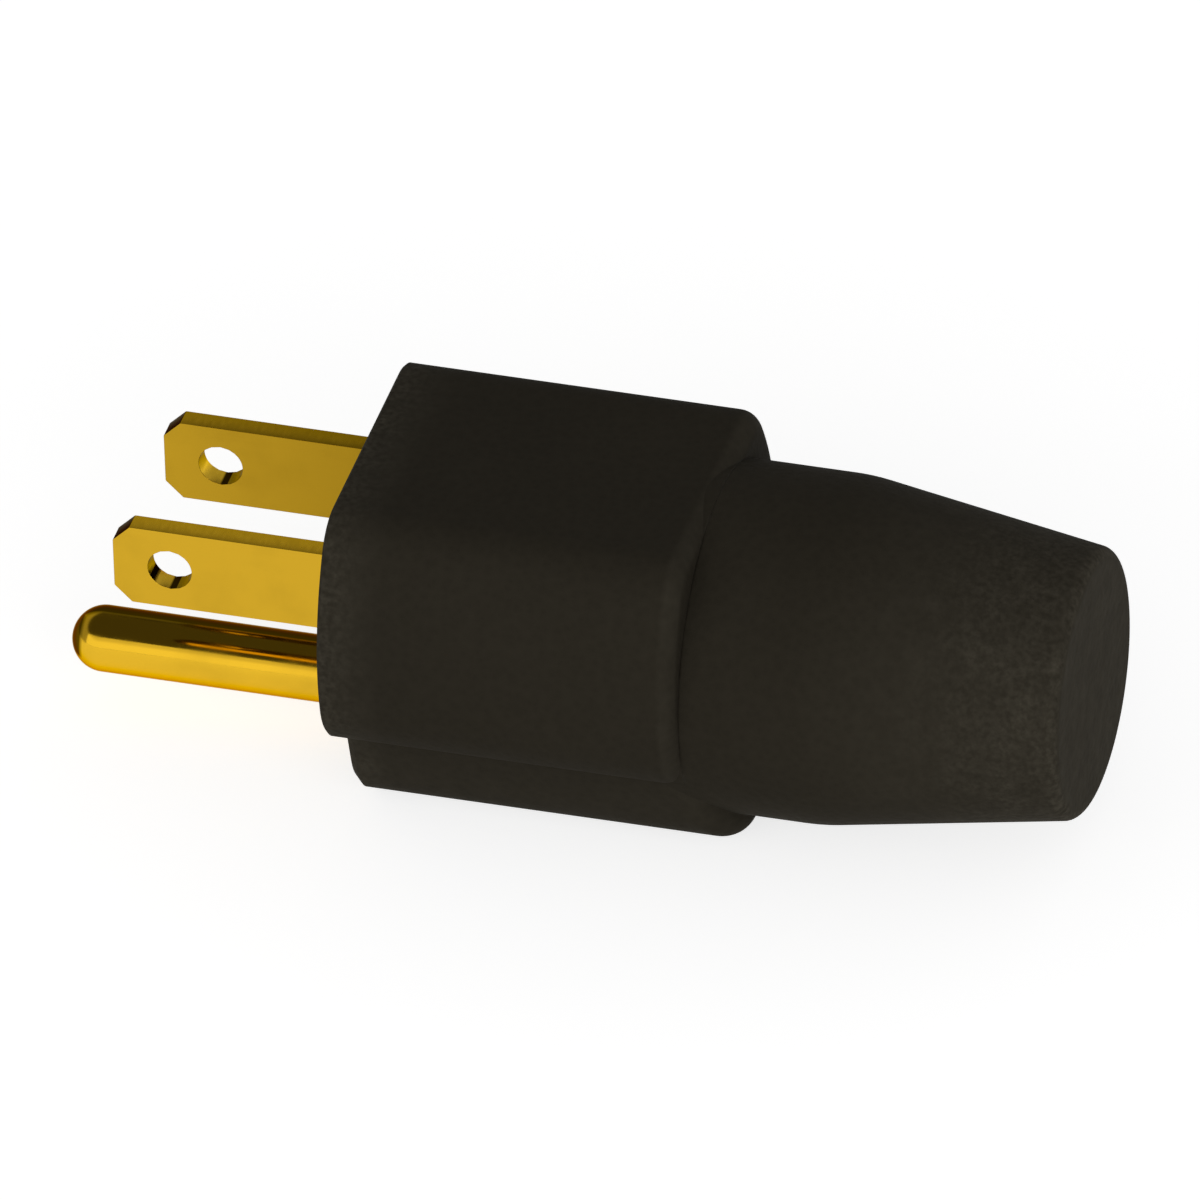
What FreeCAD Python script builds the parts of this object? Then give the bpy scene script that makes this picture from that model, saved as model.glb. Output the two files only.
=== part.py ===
import FreeCAD, Part
import math
import os

# Neutral-ground bonding plug: a straight-blade three-prong plug whose neutral
# blade and ground pin are joined inside the housing by a short jumper.
# Millimetres. The origin is the centre of the mating face on the centreline of
# the blades, +X runs towards the round tail, +Z is up and the ground pin is low.

# Flat blades
blade_width = 6.35
blade_thickness = 1.52
blade_spacing = 12.7
blade_reach = 16.5
blade_tip_chamfer = 1.25
lock_hole_radius = 1.59
lock_hole_from_tip = 4.05
blade_shoulder = 0.9
blade_shoulder_depth = 2.4
slot_clearance = 0.1

# Round ground pin
pin_radius = 2.35
pin_drop = 12.0
pin_reach = 21.9
pin_root_step = 0.3
pin_collar_length = 1.5
pin_rivet_radius = 1.6
pin_rivet_head_radius = 2.4
pin_rivet_head_height = 0.8

# Ground strap from the pin up to its terminal
strap_half_width = 3.0
rivet_to_chin_end = 0.3

# Terminals: a screw and a pressure plate clamp the wire under each tab
tab_thickness = 1.5
tab_top = 1.0
tab_edge = 2.35
tab_bend_radius = 0.6
tab_past_plate = 0.1
blade_to_screw = 0.14
terminal_shank_radius = 1.5
terminal_head_radius = 2.65
terminal_head_height = 1.9
terminal_head_chamfer = 0.35
terminal_shank_above_tab = 0.5
driver_slot_width = 0.8
plate_length = 6.2
plate_half_width = 2.3
plate_thickness = 0.8
plate_lip = 0.6
strap_to_plate = 0.5
thread_clearance = 0.05

# Jumper, a short straight wire under the neutral and the ground tab
wire_radius = 0.815
insulation_radius = 1.4
wire_beside_screw = 0.07
wire_end_margin = 0.4
insulation_end_gap = 0.3

# Retainer behind the blades, and the screw that holds the housing together
retainer_thickness = 2.0
retainer_bottom = 0.4
barrier_half_width = 2.6
screw_tip_clearance = 0.3
screws_apart = 0.45
assembly_shank_radius = 1.45
assembly_head_radius = 2.7
assembly_head_height = 2.1
assembly_head_chamfer = 0.5
assembly_head_sink = 0.5
driver_cross_reach = 1.7
driver_cross_depth = 1.25
assembly_screw_clearance = 0.15
screw_past_insert = 0.4
insert_radius = 2.1
insert_length = 5.0
insert_from_front = 1.0
boss_wall = 0.85
boss_to_ceiling = 0.05
bulkhead_thickness = 2.0
post_thickness = 1.6
post_half_width = 2.4
post_gap = 0.3

# Head, the moulding that carries the mating face. Its width and height follow from
# the terminals and the long screw inside.
wall = 2.0
head_length = 25.7
head_widest_z = -2.6
head_side_radius = 18.5
head_top_corner_radius = 3.6
head_lower_corner_radius = 5.5
head_front_chamfer = 0.2
head_rear_rounding = 1.6
head_front_wall = 4.5
head_rear_wall = 2.0
head_tuck_in = 2.3
terminal_room = 0.3

# Chin, the part of the head that holds the ground pin
chin_length = 9.9
chin_wall = 1.05
chin_floor = 1.4
chin_corner_rounding = 1.4

# Tray, the lower part of the rear housing, a little behind and inside the head
tray_height = 7.32
tray_setback = 1.0
tray_reveal = 0.2
tray_draft = 15.0
tray_corner_radius = 5.4
tray_end_x = 25.2
tray_end_slope = 35.0
tray_front_chamfer = 0.6
tray_end_rounding = 1.5
tray_floor = 1.8
lip_thickness = 1.0
lip_height = 2.6
lip_inset = 2.2
lip_front_x = 6.0
tongue_length = 3.2
tongue_height = 1.4

# Tail, round about its own axis and a little smaller than the body is high
tail_reveal = 0.1
tail_taper = 2.75
tail_neck_step = 2.1
tail_neck_length = 2.5
tail_cone_x = 34.4
tail_cone_blend = 16.0
tail_end_x = 52.2
tail_end_rounding = 1.0
housing_clearance = 0.15

# How far a cutting tool runs past the stock, a length beyond the whole plug, and
# how closely an edge must lie on the plane that picks it out
overrun = 1.0
beyond = 60.0
touch = 1e-4

# Places along the body
rivet_end_x = chin_length - rivet_to_chin_end
strap_back_x = rivet_end_x - pin_rivet_head_height
strap_front_x = strap_back_x - tab_thickness
collar_front_x = strap_front_x - pin_collar_length
tab_front_x = head_front_wall + blade_shoulder_depth
terminal_screw_x = strap_back_x + strap_to_plate + plate_length / 2
tab_back_x = terminal_screw_x + plate_length / 2 + tab_past_plate
jumper_x = terminal_screw_x + terminal_shank_radius + wire_beside_screw + wire_radius
retainer_back_x = tab_back_x + retainer_thickness
insert_x = retainer_back_x + insert_from_front
assembly_screw_tip = insert_x + insert_length + screw_past_insert
counterbore_depth = assembly_head_height + assembly_head_sink
lip_back_x = head_length - head_rear_wall - tongue_length - 2 * housing_clearance

# Places across it
blade_y = blade_spacing / 2
half_blade = blade_thickness / 2
terminal_screw_y = blade_y + half_blade + blade_to_screw + terminal_shank_radius
tab_outer_y = terminal_screw_y + tab_edge
head_half_width = terminal_screw_y + terminal_head_radius + terminal_room + wall
parting_half_width = head_half_width - head_tuck_in
lip_outer_y = parting_half_width - lip_inset
chin_half_width = strap_half_width + housing_clearance + chin_wall
pin_root_radius = pin_radius + pin_root_step

# Levels
tab_bottom = tab_top - tab_thickness
wire_z = tab_bottom - wire_radius
plate_top = wire_z - wire_radius
plate_bottom = plate_top - plate_thickness
assembly_screw_z = tab_top + terminal_shank_above_tab + screws_apart + assembly_shank_radius
boss_radius = insert_radius + boss_wall
ceiling = assembly_screw_z + boss_radius + boss_to_ceiling
head_top = ceiling + wall
tray_bottom = -pin_drop - strap_half_width - chin_floor
parting_z = tray_bottom + tray_height
lip_top = parting_z + lip_height
tail_axis_z = (head_top + tray_bottom) / 2
tail_radius = (head_top - tray_bottom) / 2 - tail_reveal
tail_end_radius = tail_radius - tail_taper
tail_neck_radius = tail_radius - tail_neck_step


def at(x, y, z):
    return FreeCAD.Vector(x, y, z)


def block(x0, x1, y0, y1, z0, z1):
    return Part.makeBox(x1 - x0, y1 - y0, z1 - z0, at(x0, y0, z0))


def rod(x0, x1, y, z, radius):
    return Part.makeCylinder(radius, x1 - x0, at(x0, y, z), at(1, 0, 0))


def crossbar(x, y0, y1, z, radius):
    return Part.makeCylinder(radius, y1 - y0, at(x, y0, z), at(0, 1, 0))


def post(x, y, z0, z1, radius):
    return Part.makeCylinder(radius, z1 - z0, at(x, y, z0), at(0, 0, 1))


def on_circle(centre, radius, angle):
    return centre[0] + radius * math.cos(angle), centre[1] + radius * math.sin(angle)


def section_prism(x0, x1, runs, arcs):
    """Prism from x0 to x1 on a section that is the same on both sides. The +Y half is
    given by straight runs (from, to) and arcs (centre, radius, start, end)."""
    edges = []
    for side in (1, -1):
        for centre, radius, start, end in arcs:
            points = [on_circle(centre, radius, a) for a in (start, (start + end) / 2, end)]
            edges.append(Part.Arc(*[at(x0, side * y, z) for y, z in points]).toShape())
        for (y0, z0), (y1, z1) in runs:
            edges.append(Part.makeLine(at(x0, side * y0, z0), at(x0, side * y1, z1)))
    section = Part.Face(Part.Wire(Part.__sortEdges__(edges)))
    return section.extrude(at(x1 - x0, 0, 0))


def head_arcs(inset):
    """Arcs of the head's half section: lower corner, side and top corner, each tangent
    to the next, with their radii reduced by the inset. The lower corner touches the
    side from inside and runs through the outer corner of the parting plane."""
    side = (head_half_width - head_side_radius, head_widest_z)
    top_z = head_top - head_top_corner_radius
    reach = head_side_radius - head_top_corner_radius
    top = (side[0] + math.sqrt(reach ** 2 - (top_z - side[1]) ** 2), top_z)
    dy = parting_half_width - side[0]
    dz = parting_z - side[1]
    span = math.hypot(dy, dz)
    r_far = head_side_radius - head_lower_corner_radius
    along = (span ** 2 + r_far ** 2 - head_lower_corner_radius ** 2) / (2 * span)
    off = math.sqrt(r_far ** 2 - along ** 2)
    lower = (side[0] + (along * dy - off * dz) / span,
             side[1] + (along * dz + off * dy) / span)
    low_angle = math.atan2(lower[1] - side[1], lower[0] - side[0])
    top_angle = math.atan2(top[1] - side[1], top[0] - side[0])
    r_lower = head_lower_corner_radius - inset
    floor_angle = -math.acos((parting_half_width - inset - lower[0]) / r_lower)
    return [
        (lower, r_lower, floor_angle, low_angle),
        (side, head_side_radius - inset, low_angle, top_angle),
        (top, head_top_corner_radius - inset, top_angle, math.pi / 2),
    ]


def head_prism(x0, x1, inset, below):
    """The head's section with straight walls carried on below the parting plane."""
    arcs = head_arcs(inset)
    foot = on_circle(arcs[0][0], arcs[0][1], arcs[0][2])
    crown = on_circle(arcs[2][0], arcs[2][1], arcs[2][3])
    low = (foot[0], parting_z - below)
    runs = [(crown, (0, crown[1])), (low, (0, low[1]))]
    if foot[1] - low[1] > touch:
        runs.append((foot, low))
    return section_prism(x0, x1, runs, arcs)


def tray_prism(x0, x1, inset):
    """The tray's section: drafted sides, large round corners and a flat bottom."""
    draft = math.radians(tray_draft)
    top = (parting_half_width - tray_reveal, parting_z)
    radius = tray_corner_radius - inset
    centre_z = tray_bottom + tray_corner_radius
    run = (top[1] - centre_z) * math.sin(draft)
    centre = (top[0] - (tray_corner_radius + run) / math.cos(draft), centre_z)
    arcs = [(centre, radius, -math.pi / 2, -draft)]
    upper = on_circle(centre, radius, -draft)
    rim = (top[0] - inset / math.cos(draft), parting_z)
    runs = [
        (rim, upper),
        ((centre[0], tray_bottom + inset), (0, tray_bottom + inset)),
        (rim, (0, parting_z)),
    ]
    return section_prism(x0, x1, runs, arcs)


def turned(profile):
    """Solid of revolution about the tail's axis from (x, radius) points."""
    points = [at(x, 0, tail_axis_z + r) for x, r in profile]
    face = Part.Face(Part.makePolygon(points + points[:1]))
    return face.revolve(at(0, 0, tail_axis_z), at(1, 0, 0), 360)


def edges_on(shape, x=None, y=None, z=None):
    """Edges that lie on every one of the planes given."""
    found = []
    for edge in shape.Edges:
        box = edge.BoundBox
        spans = [(x, box.XMin, box.XMax), (y, box.YMin, box.YMax), (z, box.ZMin, box.ZMax)]
        if all(p is None or (abs(low - p) < touch and abs(high - p) < touch)
               for p, low, high in spans):
            found.append(edge)
    return found


def off_parting_plane(edges):
    return [e for e in edges
            if abs(e.BoundBox.ZMin - parting_z) > touch or abs(e.BoundBox.ZMax - parting_z) > touch]


def above_parting(shape):
    return shape.common(block(-beyond, beyond, -beyond, beyond, parting_z, beyond))


def below_parting(shape):
    return shape.common(block(-beyond, beyond, -beyond, beyond, -beyond, parting_z))


def both_sides(shape):
    """The shape and its mirror image across the plane y = 0."""
    return [shape, shape.mirror(at(0, 0, 0), at(0, 1, 0))]


def blade_prong():
    """Flat prong of the +Y blade: chamfered tip, locking hole, and shoulders that stop
    on the back of the front wall."""
    z = blade_width / 2
    tip = -blade_reach
    c = blade_tip_chamfer
    wide = z + blade_shoulder
    x_wide = head_front_wall
    outline = [
        (tip + c, -z), (tip, -z + c), (tip, z - c), (tip + c, z),
        (x_wide, z), (x_wide, wide), (tab_front_x, wide),
        (tab_front_x, -wide), (x_wide, -wide), (x_wide, -z),
    ]
    y_low = blade_y - half_blade
    points = [at(x, y_low, z_at) for x, z_at in outline]
    face = Part.Face(Part.makePolygon(points + points[:1]))
    sheet = face.extrude(at(0, blade_thickness, 0))
    hole = crossbar(tip + lock_hole_from_tip, 0, blade_spacing, 0, lock_hole_radius)
    return sheet.cut(hole)


def blade():
    """The +Y blade, its tail folded outwards into a level tab with a tapped hole."""
    inner = blade_y - half_blade
    tab = block(tab_front_x, tab_back_x, inner, tab_outer_y, tab_bottom, tab_top)
    web = block(tab_front_x, tab_back_x, inner, inner + blade_thickness, tab_bottom, blade_width / 2)
    tail = tab.fuse(web).removeSplitter()
    tail = tail.makeFillet(tab_bend_radius, edges_on(tail, y=inner, z=tab_bottom))
    screw_hole = post(terminal_screw_x, terminal_screw_y, tab_bottom - overrun, tab_top + overrun,
                      terminal_shank_radius + thread_clearance)
    return blade_prong().fuse(tail).cut(screw_hole).removeSplitter()


def ground_pin():
    """Turned pin: round nose, shank, a thicker root inside the chin, a collar as wide as
    the strap, and a riveted rear end."""
    nose_x = -pin_reach + pin_radius
    z = -pin_drop
    shank = rod(nose_x, 0, 0, z, pin_radius)
    nose = Part.makeSphere(pin_radius, at(nose_x, 0, z))
    root = rod(0, collar_front_x, 0, z, pin_root_radius)
    collar = rod(collar_front_x, strap_front_x, 0, z, strap_half_width)
    spigot = rod(strap_front_x, strap_back_x, 0, z, pin_rivet_radius)
    head = Part.makeCone(pin_rivet_head_radius, pin_rivet_radius, pin_rivet_head_height,
                         at(strap_back_x, 0, z), at(1, 0, 0))
    return shank.multiFuse([nose, root, collar, spigot, head]).removeSplitter()


def ground_strap():
    """Folded strap riveted to the pin, rising to a level tab for the ground terminal."""
    w = strap_half_width
    leg = block(strap_front_x, strap_back_x, -w, w, -pin_drop - w, tab_top)
    tab = block(strap_front_x, tab_back_x, -w, w, tab_bottom, tab_top)
    strap = leg.fuse(tab).removeSplitter()
    strap = strap.makeFillet(tab_bend_radius + tab_thickness / 2,
                             edges_on(strap, x=strap_front_x, z=tab_top))
    strap = strap.makeFillet(tab_bend_radius, edges_on(strap, x=strap_back_x, z=tab_bottom))
    rivet_hole = rod(strap_front_x - overrun, strap_back_x + overrun, 0, -pin_drop,
                     pin_rivet_radius + thread_clearance)
    screw_hole = post(terminal_screw_x, 0, tab_bottom - overrun, tab_top + overrun,
                      terminal_shank_radius + thread_clearance)
    return strap.cut(rivet_hole).cut(screw_hole)


def terminal_screw(x, y):
    """Slotted binding screw, driven from below through its plate into the tab."""
    z_face = plate_bottom - terminal_head_height
    head = post(x, y, z_face, plate_bottom, terminal_head_radius)
    head = head.makeChamfer(terminal_head_chamfer, edges_on(head, z=z_face))
    shank = post(x, y, plate_bottom, tab_top + terminal_shank_above_tab, terminal_shank_radius)
    arm = driver_slot_width / 2
    reach = terminal_head_radius + overrun
    slot = block(x - reach, x + reach, y - arm, y + arm,
                 z_face - overrun, z_face + terminal_head_height / 2)
    return head.fuse(shank).cut(slot).removeSplitter()


def pressure_plate(x, y):
    """Square clamping plate under the tab, with a lip that keeps it from turning."""
    half = plate_length / 2
    w = plate_half_width
    plate = block(x - half, x + half, y - w, y + w, plate_bottom, plate_top)
    lip = block(x - half, x - half + plate_thickness, y - w, y + w, plate_top, plate_top + plate_lip)
    screw_hole = post(x, y, plate_bottom - overrun, plate_top + overrun,
                      terminal_shank_radius + thread_clearance)
    return plate.fuse(lip).removeSplitter().cut(screw_hole)


def jumper_conductor():
    """Straight bar beside both screws, clamped under the neutral and the ground tab."""
    under_plate = plate_half_width - wire_end_margin
    return crossbar(jumper_x, -terminal_screw_y - under_plate, under_plate, wire_z, wire_radius)


def jumper_insulation():
    """Sleeve on the stretch between the two tabs."""
    y0 = half_blade - blade_y + insulation_end_gap
    y1 = -strap_half_width - insulation_end_gap
    sleeve = crossbar(jumper_x, y0, y1, wire_z, insulation_radius)
    return sleeve.cut(crossbar(jumper_x, y0 - overrun, y1 + overrun, wire_z, wire_radius))


def terminal_retainer():
    """Moulded wall behind the blades with a barrier between them; the long screw
    passes through it and the housing boss clamps it."""
    inside = head_prism(tab_back_x, retainer_back_x, wall + housing_clearance, 0)
    plate = inside.common(block(0, beyond, -beyond, beyond, retainer_bottom, ceiling))
    w = barrier_half_width
    barrier = block(head_front_wall, tab_back_x, -w, w, tab_top, ceiling)
    long_bore = rod(0, beyond, 0, assembly_screw_z, assembly_shank_radius + assembly_screw_clearance)
    tip_pocket = post(terminal_screw_x, 0, tab_top - overrun, assembly_screw_z,
                      terminal_shank_radius + screw_tip_clearance)
    return plate.fuse(barrier).removeSplitter().cut(long_bore).cut(tip_pocket)


def assembly_screw():
    """Long pan-head screw, sunk in the mating face between the blades."""
    z = assembly_screw_z
    x_seat = counterbore_depth
    x_face = x_seat - assembly_head_height
    head = rod(x_face, x_seat, 0, z, assembly_head_radius)
    head = head.makeChamfer(assembly_head_chamfer, edges_on(head, x=x_face))
    shank = rod(x_seat, assembly_screw_tip, 0, z, assembly_shank_radius)
    arm = driver_slot_width / 2
    reach = driver_cross_reach
    x_floor = x_face + driver_cross_depth
    level = block(x_face - overrun, x_floor, -reach, reach, z - arm, z + arm)
    upright = block(x_face - overrun, x_floor, -arm, arm, z - reach, z + reach)
    return head.fuse(shank).cut(level.fuse(upright)).removeSplitter()


def threaded_insert():
    """Metal bush moulded into the boss; the long screw pulls the two mouldings together."""
    back_x = insert_x + insert_length
    body = rod(insert_x, back_x, 0, assembly_screw_z, insert_radius)
    return body.cut(rod(insert_x - overrun, back_x + overrun, 0, assembly_screw_z,
                        assembly_shank_radius + thread_clearance))


def tongue(clearance):
    """Forward tongue on the +Y lip, or with a clearance the pocket that takes it."""
    return block(lip_front_x - tongue_length - clearance, lip_front_x,
                 lip_outer_y - lip_thickness - clearance, lip_outer_y + clearance,
                 lip_top - tongue_height - clearance, lip_top + clearance)


def chin():
    """Block below the mating face that holds the ground pin."""
    w = chin_half_width
    body = block(0, chin_length, -w, w, tray_bottom, parting_z + overrun)
    lower = edges_on(body, y=w, z=tray_bottom) + edges_on(body, y=-w, z=tray_bottom)
    return body.makeFillet(chin_corner_rounding, lower)


def head_outside():
    """Bulging outside. Its lower corners are first carried on to their lowest points, so
    that both ends are rounded along a smooth closed line, and then cut off at the parting
    plane. The tail's round is carried forward under the rear rounding, so that the flush
    top of the tail meets the head without a step."""
    lower_corner, side, top_corner = head_arcs(0)
    centre, radius, _, joint_angle = lower_corner
    base = (centre[0], centre[1] - radius)
    crown = (top_corner[0][0], head_top)
    runs = [(crown, (0, head_top)), (base, (0, base[1]))]
    arcs = [(centre, radius, -math.pi / 2, joint_angle), side, top_corner]
    outer = section_prism(0, head_length, runs, arcs)
    outer = outer.makeFillet(head_rear_rounding, edges_on(outer, x=head_length))
    outer = outer.makeChamfer(head_front_chamfer, edges_on(outer, x=0))
    collar = rod(head_length / 2, head_length, 0, tail_axis_z, tail_radius)
    return above_parting(outer.fuse(collar)).fuse(chin())


def head_body():
    """Front moulding: mating face, bulging sides, open below behind the chin."""
    w = chin_half_width
    chamber = head_prism(head_front_wall, head_length - head_rear_wall, wall, overrun)
    chamber = chamber.cut(block(0, chin_length, -w, w, -beyond, parting_z))
    pocket_w = strap_half_width + housing_clearance
    strap_pocket = block(collar_front_x, chin_length + overrun, -pocket_w, pocket_w,
                         -pin_drop - pocket_w, parting_z + overrun)
    pin_bore = rod(-overrun, chin_length, 0, -pin_drop, pin_root_radius + slot_clearance)
    neck_opening = rod(head_length - head_rear_wall - overrun, head_length + overrun, 0, tail_axis_z,
                       tail_neck_radius + housing_clearance)
    slot_half = half_blade + slot_clearance
    slot_z = blade_width / 2 + slot_clearance
    blade_slot = block(-overrun, head_front_wall + overrun, blade_y - slot_half, blade_y + slot_half,
                       -slot_z, slot_z)
    screw_bore = rod(-overrun, head_front_wall + overrun, 0, assembly_screw_z,
                     assembly_shank_radius + assembly_screw_clearance)
    counterbore = rod(-overrun, counterbore_depth, 0, assembly_screw_z,
                      assembly_head_radius + assembly_screw_clearance)
    cuts = [chamber, strap_pocket, pin_bore, neck_opening, screw_bore, counterbore]
    cuts += both_sides(blade_slot) + both_sides(tongue(housing_clearance))
    return head_outside().cut(Part.makeCompound(cuts)).removeSplitter()


def tray_outside():
    """Lower part: set back from the mating face, its rear end sloping to the tail."""
    lean = math.tan(math.radians(tray_end_slope))
    low_end_x = tray_end_x + (parting_z - tray_bottom) * lean
    side_view = [
        (0, parting_z + overrun), (tray_end_x, parting_z + overrun), (tray_end_x, parting_z),
        (low_end_x, tray_bottom), (low_end_x, tray_bottom - overrun), (0, tray_bottom - overrun),
    ]
    points = [at(x, -beyond, z) for x, z in side_view]
    keep = Part.Face(Part.makePolygon(points + points[:1])).extrude(at(0, 2 * beyond, 0))
    outer = tray_prism(tray_setback, tail_cone_x, 0).common(keep)
    sloping = []
    for edge in off_parting_plane(outer.Edges):
        middle = edge.valueAt((edge.FirstParameter + edge.LastParameter) / 2)
        if abs(middle.x - tray_end_x - (parting_z - middle.z) * lean) < touch:
            sloping.append(edge)
    outer = outer.makeFillet(tray_end_rounding, sloping)
    return outer.makeChamfer(tray_front_chamfer, off_parting_plane(edges_on(outer, x=tray_setback)))


def tail_outside():
    """Round tail: a short cylinder, a long taper and a closed end. Below the parting
    plane its round is carried forward into the tray."""
    outer = turned([(head_length, 0), (head_length, tail_radius), (tail_cone_x, tail_radius),
                    (tail_end_x, tail_end_radius), (tail_end_x, 0)])
    outer = outer.makeFillet(tail_end_rounding, edges_on(outer, x=tail_end_x))
    outer = outer.makeFillet(tail_cone_blend, edges_on(outer, x=tail_cone_x))
    under = rod(head_length / 2, head_length + overrun, 0, tail_axis_z, tail_radius)
    return outer.fuse(below_parting(under))


def tray_lip():
    """Rail on the +Y side of the tray, standing up inside the head, with its tongue."""
    rail = block(lip_front_x, lip_back_x, lip_outer_y - lip_thickness, lip_outer_y,
                 tray_bottom + tray_corner_radius, lip_top)
    buried = rail.common(tray_prism(0, beyond, tray_floor / 2))
    return above_parting(rail).fuse(buried).fuse(tongue(0))


def pin_stop():
    """Post on the tray's floor whose nib bears on the riveted end of the ground pin."""
    r = pin_rivet_radius
    x_post = chin_length + post_gap
    body = block(x_post, x_post + post_thickness, -post_half_width, post_half_width,
                 tray_bottom + tray_floor / 2, r - pin_drop)
    return body.fuse(block(rivet_end_x, x_post, -r, r, -pin_drop - r, r - pin_drop))


def rear_housing():
    """Tray and tail in one moulding, with the neck, boss and lips that fit the head."""
    inner = tail_radius - wall
    narrowing = (tail_radius - tail_end_radius) / (tail_end_x - tail_cone_x)
    end_inner_x = tail_end_x - wall
    end_inner = inner - narrowing * (end_inner_x - tail_cone_x)
    hollow_x = head_length + wall
    neck_x = head_length - tail_neck_length
    neck = rod(neck_x, head_length + overrun, 0, tail_axis_z, tail_neck_radius)
    body = tail_outside().fuse(tray_outside()).fuse(above_parting(neck))
    hollow = turned([(hollow_x, 0), (hollow_x, inner), (tail_cone_x, inner),
                     (end_inner_x, end_inner), (end_inner_x, 0)])
    throat = rod(neck_x - overrun, hollow_x + overrun, 0, tail_axis_z, tail_neck_radius - wall)
    channel = tray_prism(tray_setback + wall, head_length - head_rear_wall, tray_floor)
    room_w = chin_half_width + housing_clearance
    chin_room = block(0, chin_length + housing_clearance, -room_w, room_w, -beyond, parting_z + overrun)
    for cut in (hollow, above_parting(throat), channel, chin_room):
        body = body.cut(cut)
    boss = rod(retainer_back_x, hollow_x, 0, assembly_screw_z, boss_radius)
    disc = rod(head_length, head_length + bulkhead_thickness, 0, tail_axis_z, inner)
    bulkhead = disc.common(block(0, beyond, -beyond, beyond, tail_axis_z + wall, beyond))
    for part in [bulkhead, boss, pin_stop()] + both_sides(tray_lip()):
        body = body.fuse(part)
    insert_seat = rod(insert_x, insert_x + insert_length, 0, assembly_screw_z, insert_radius)
    screw_room = rod(retainer_back_x - overrun, assembly_screw_tip + overrun, 0, assembly_screw_z,
                     assembly_shank_radius + assembly_screw_clearance)
    return body.cut(screw_room).cut(insert_seat).removeSplitter()


line_blade, neutral_blade = both_sides(blade())

pieces = {
    "head_body": head_body(),
    "rear_housing": rear_housing(),
    "terminal_retainer": terminal_retainer(),
    "line_blade": line_blade,
    "neutral_blade": neutral_blade,
    "ground_pin": ground_pin(),
    "ground_strap": ground_strap(),
    "line_terminal_screw": terminal_screw(terminal_screw_x, terminal_screw_y),
    "neutral_terminal_screw": terminal_screw(terminal_screw_x, -terminal_screw_y),
    "ground_terminal_screw": terminal_screw(terminal_screw_x, 0),
    "line_pressure_plate": pressure_plate(terminal_screw_x, terminal_screw_y),
    "neutral_pressure_plate": pressure_plate(terminal_screw_x, -terminal_screw_y),
    "ground_pressure_plate": pressure_plate(terminal_screw_x, 0),
    "jumper_conductor": jumper_conductor(),
    "jumper_insulation": jumper_insulation(),
    "assembly_screw": assembly_screw(),
    "threaded_insert": threaded_insert(),
}

os.makedirs("parts", exist_ok=True)
for name, shape in pieces.items():
    if shape.ShapeType == "Compound" and len(shape.Solids) == 1:
        shape = shape.Solids[0]
    shape.exportStep("parts/" + name + ".step")
    box = shape.BoundBox
    print(name, len(shape.Solids), shape.isValid(), round(shape.Volume, 1),
          [round(v, 2) for v in (box.XMin, box.XMax, box.YMin, box.YMax, box.ZMin, box.ZMax)])
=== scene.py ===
# %% [markdown]
# # A bonding plug in polished brass and black moulded plastic
#
# The object is a three-prong plug: two flat blades, a round ground pin, a boxy head
# with bulging sides and a round tail. Its solids were made in CAD and arrive here as
# one mesh per piece, in metres, each already in its place. This lesson dresses them:
# it gives every piece a finish, remakes the pieces whose fine form the solids leave
# out, and sets up the light and the camera of the catalogue picture. Shapes are worked
# out in millimetres and turned into metres when their mesh is filled.

# %% Load the packed solids
import math

import bmesh
import bpy
import numpy as np
from mathutils import Matrix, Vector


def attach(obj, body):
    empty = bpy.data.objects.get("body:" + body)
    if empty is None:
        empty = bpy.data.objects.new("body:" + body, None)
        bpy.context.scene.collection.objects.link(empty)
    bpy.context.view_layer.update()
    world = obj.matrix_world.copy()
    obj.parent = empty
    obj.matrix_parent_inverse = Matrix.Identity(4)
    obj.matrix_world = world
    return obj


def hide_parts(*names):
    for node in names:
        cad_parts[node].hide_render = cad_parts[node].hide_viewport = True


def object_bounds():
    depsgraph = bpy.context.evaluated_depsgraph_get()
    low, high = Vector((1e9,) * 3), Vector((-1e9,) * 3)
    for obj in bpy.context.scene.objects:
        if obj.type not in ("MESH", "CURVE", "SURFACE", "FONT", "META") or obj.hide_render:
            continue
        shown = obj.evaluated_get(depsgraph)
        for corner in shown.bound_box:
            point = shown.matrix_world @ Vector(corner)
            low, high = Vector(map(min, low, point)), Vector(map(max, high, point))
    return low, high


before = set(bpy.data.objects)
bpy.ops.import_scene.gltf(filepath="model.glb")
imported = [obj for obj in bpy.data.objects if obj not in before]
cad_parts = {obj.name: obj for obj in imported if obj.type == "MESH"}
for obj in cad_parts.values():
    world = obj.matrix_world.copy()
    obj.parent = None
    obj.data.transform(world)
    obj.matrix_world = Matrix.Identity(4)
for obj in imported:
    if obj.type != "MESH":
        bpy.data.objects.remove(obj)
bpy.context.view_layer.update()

# %% [markdown]
# ## The camera
#
# The picture was taken, or drawn, with parallel rays: the two blades are the same size
# although one is further away. So the camera is orthographic. It looks down at the plug
# from the neutral blade's side and is rolled by two and a half degrees. It first aims
# at the centre of the mating face, and is then slid until that point stands where it
# does in the picture. How far off it stands doesn't matter to parallel rays.

# %% Place the camera
PIXELS = 1200
PIXELS_PER_MM = 14.409
FACE_CENTRE_PIXEL = (370.212, 536.074)
AZIMUTH, ELEVATION, ROLL = [math.radians(a) for a in (17.675, 35.735, -2.508)]
CAMERA_DISTANCE = 0.6

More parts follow.
